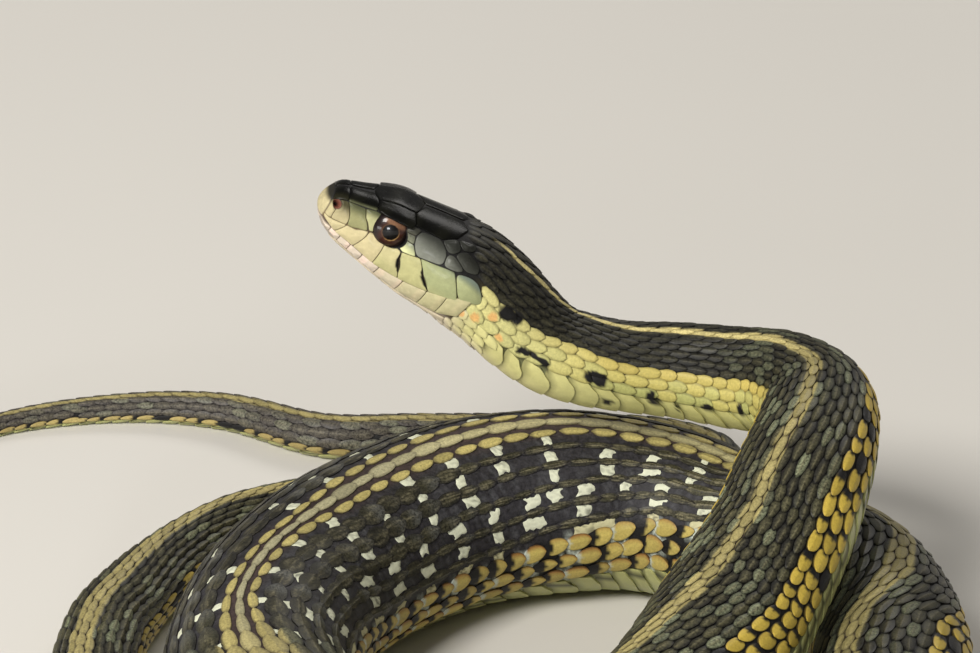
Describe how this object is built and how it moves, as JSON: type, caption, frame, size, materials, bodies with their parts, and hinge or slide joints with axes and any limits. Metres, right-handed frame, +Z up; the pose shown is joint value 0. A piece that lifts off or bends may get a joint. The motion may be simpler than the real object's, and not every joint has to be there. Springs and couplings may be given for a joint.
{
  "type": "garter snake",
  "caption": "Still life-size garter snake at rest in a loose coil, head and neck raised, with a pale back stripe and yellow side stripes.",
  "frame": {"origin": "centre of the footprint's bounding box, on the floor under the coil", "axes": "+Z up from the floor; the head points along -X and its left side faces -Y; +Y is behind the coil"},
  "size_m": [0.1168, 0.1184, 0.0445],
  "materials": {
    "head_scales": "glossy black-olive head shields",
    "jaw_scales": "satin cream yellow-green lower lip and chin shields",
    "body_scales": "satin keeled scales, dark olive with cream and mustard stripes and a pale yellow-green belly",
    "eyes": "wet dark red-brown iris with a round black pupil"
  },
  "bodies": {
    "root": {"head": "head_scales", "lower_jaw": "jaw_scales", "eye_left": "eyes", "eye_right": "eyes", "neck_01": "body_scales", "neck_02": "body_scales", "body_01": "body_scales", "body_02": "body_scales", "body_03": "body_scales", "body_04": "body_scales", "body_05": "body_scales", "body_06": "body_scales", "body_07": "body_scales", "body_08": "body_scales", "body_09": "body_scales", "body_10": "body_scales", "body_11": "body_scales", "body_12": "body_scales", "body_13": "body_scales", "body_14": "body_scales", "body_15": "body_scales", "tail_01": "body_scales", "tail_02": "body_scales", "tail_03": "body_scales", "tail_04": "body_scales", "tail_05": "body_scales", "tail_06": "body_scales"}
  },
  "joints": []
}
